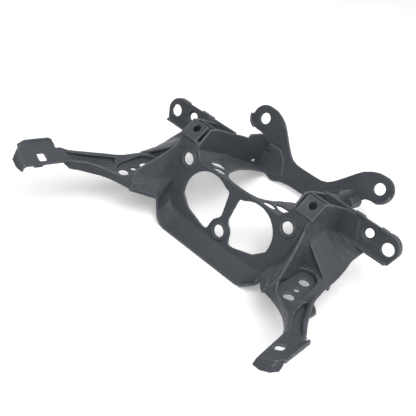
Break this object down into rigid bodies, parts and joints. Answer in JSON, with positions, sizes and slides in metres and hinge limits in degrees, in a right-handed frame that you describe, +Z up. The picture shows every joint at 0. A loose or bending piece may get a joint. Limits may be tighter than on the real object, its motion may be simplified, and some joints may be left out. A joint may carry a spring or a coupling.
{
  "type": "motorcycle fairing stay",
  "caption": "Moulded motorcycle fairing stay with an instrument plate, mirror flanges, cowl tabs, a rear cross bracket and two forward arms ending in hook plates.",
  "frame": {"origin": "centre of the bounding box's bottom face, on the surface that the stay lies on", "axes": "+X along the stay's width towards its right mirror flange, +Y to the rear bracket, +Z up from the surface"},
  "size_m": [0.3336, 0.2948, 0.0915],
  "materials": {
    "moulded_black": "matte"
  },
  "bodies": {
    "root": {"stay_body": "moulded_black"}
  },
  "joints": []
}
